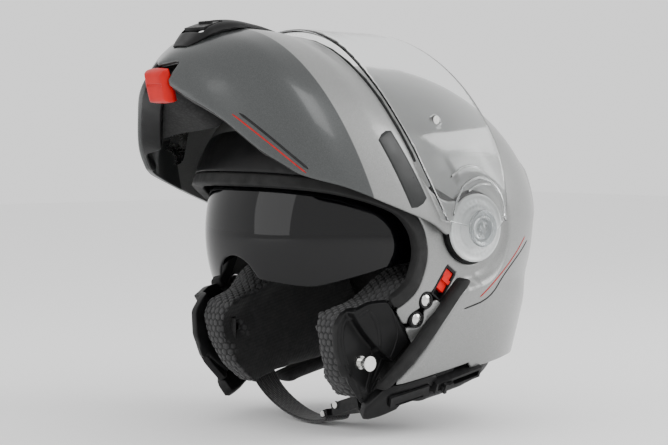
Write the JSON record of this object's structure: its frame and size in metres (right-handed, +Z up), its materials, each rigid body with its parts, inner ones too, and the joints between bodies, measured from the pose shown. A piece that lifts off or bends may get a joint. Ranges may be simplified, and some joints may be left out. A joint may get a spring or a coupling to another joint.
{
  "type": "motorcycle helmet",
  "caption": "Flip-up full-face motorcycle helmet with a lifting chin bar, clear outer visor, drop-down sun visor, padded lining and chin strap.",
  "frame": {"origin": "midpoint of the chin bar's hinge axis, which is the middle of the head cavity", "axes": "+X forward, the way the wearer looks; +Y to the wearer's left, along the hinge axis; +Z up"},
  "size_m": [0.3262, 0.252, 0.2894],
  "materials": {
    "shell_grey": "satin grey paint",
    "trim_black": "fine grain",
    "seal_rubber": "soft rubber",
    "signal_red": "moulded red",
    "foam": "charcoal expanded foam",
    "lining_cloth": "knitted lining",
    "webbing": "woven webbing",
    "bright_steel": "polished",
    "hub_clear": "smoked moulding",
    "clear_visor": "hard coated",
    "smoke_visor": "silvered smoke"
  },
  "bodies": {
    "shell": {"outer_shell": "shell_grey", "side_seals": "seal_rubber", "eyeport_trim": "seal_rubber", "rim_trim": "trim_black", "rear_spoiler": "shell_grey", "rear_exhaust_grille": "trim_black", "top_vent_base": "trim_black", "jaw_plate_left": "trim_black", "jaw_plate_right": "trim_black", "striker_left": "bright_steel", "striker_right": "bright_steel", "strap_rivets": "bright_steel", "rivet_grommets": "trim_black", "pj_track": "trim_black", "comm_cover": "trim_black", "sun_lever_track": "trim_black", "hinge_plate_left": "trim_black", "hinge_plate_right": "trim_black", "hinge_screws": "bright_steel", "eps_liner": "foam", "comfort_liner": "lining_cloth", "cheek_pad_left": "lining_cloth", "cheek_pad_right": "lining_cloth", "neck_roll": "lining_cloth", "strap_left": "webbing", "strap_right": "webbing", "buckle_housing": "trim_black", "buckle_tongue": "trim_black", "buckle_rivets": "bright_steel", "sun_hinge_studs": "smoke_visor"},
    "sun_visor": {"sun_visor": "smoke_visor"},
    "sun_lever": {"sun_lever": "trim_black"},
    "pj_slider": {"pj_slider": "signal_red"},
    "top_vent_slider": {"top_vent_slider": "trim_black"},
    "buckle_lever": {"buckle_lever": "signal_red"},
    "chin_bar": {"chin_bar_shell": "shell_grey", "chin_bar_frame": "trim_black", "chin_bar_liner": "foam", "visor_seal": "seal_rubber", "chin_vent_body": "trim_black", "hinge_carrier_left": "trim_black", "hinge_carrier_right": "trim_black", "visor_base_left": "hub_clear", "visor_base_right": "hub_clear", "visor_caps": "hub_clear"},
    "visor": {"visor": "clear_visor", "lens_pins": "hub_clear"},
    "chin_vent_flap": {"chin_vent_flap": "trim_black"},
    "release_button": {"release_button": "signal_red"},
    "latch_left": {"latch_hook_left": "bright_steel"},
    "latch_right": {"latch_hook_right": "bright_steel"}
  },
  "joints": [
    {"name": "chin_bar_flip", "type": "hinge", "parent": "shell", "child": "chin_bar", "pos_m": [0, 0, 0], "axis": [0, 1, 0], "range_deg": [0, 72]},
    {"name": "visor_tilt", "type": "hinge", "parent": "chin_bar", "child": "visor", "pos_m": [0, 0, 0], "axis": [0, 1, 0], "range_deg": [-45, 0]},
    {"name": "sun_visor_drop", "type": "hinge", "parent": "shell", "child": "sun_visor", "pos_m": [0.012, 0, -0.005], "axis": [0, 1, 0], "range_deg": [-38, 0]},
    {"name": "sun_lever_slide", "type": "slide", "parent": "shell", "child": "sun_lever", "axis": [0.965, -0.1014, -0.2419], "range_m": [-0.022, 0]},
    {"name": "pj_lock", "type": "slide", "parent": "shell", "child": "pj_slider", "axis": [0.6018, 0, -0.7986], "range_m": [0, 0.005]},
    {"name": "top_vent_slide", "type": "slide", "parent": "shell", "child": "top_vent_slider", "axis": [0.891, 0, -0.454], "range_m": [0, 0.005]},
    {"name": "chin_vent_slide", "type": "slide", "parent": "chin_bar", "child": "chin_vent_flap", "axis": [-0.9511, 0, 0.309], "range_m": [0, 0.004]},
    {"name": "button_press", "type": "slide", "parent": "chin_bar", "child": "release_button", "axis": [-0.9511, 0, 0.309], "range_m": [0, 0.004], "stiffness_N_per_m": 300, "springref_m": -0.002},
    {"name": "latch_left_turn", "type": "hinge", "parent": "chin_bar", "child": "latch_left", "pos_m": [0.10321, 0.092, 0.06846], "axis": [0, 1, 0], "range_deg": [0, 14], "stiffness_Nm_per_rad": 0.3, "springref_deg": -5.73},
    {"name": "latch_right_turn", "type": "hinge", "parent": "chin_bar", "child": "latch_right", "pos_m": [0.10321, -0.092, 0.06846], "axis": [0, 1, 0], "range_deg": [0, 14], "stiffness_Nm_per_rad": 0.3, "springref_deg": -5.73},
    {"name": "buckle_lever_lift", "type": "hinge", "parent": "shell", "child": "buckle_lever", "pos_m": [0.044, 0.03359, -0.1275], "axis": [1, 0, 0], "range_deg": [0, 40], "stiffness_Nm_per_rad": 0.02, "springref_deg": -5.73}
  ],
  "couplings": [
    {"joint": "sun_lever_slide", "follows": "sun_visor_drop", "m_per_rad": 0.033138},
    {"joint": "latch_left_turn", "follows": "button_press", "rad_per_m": 61.025},
    {"joint": "latch_right_turn", "follows": "button_press", "rad_per_m": 61.025}
  ]
}
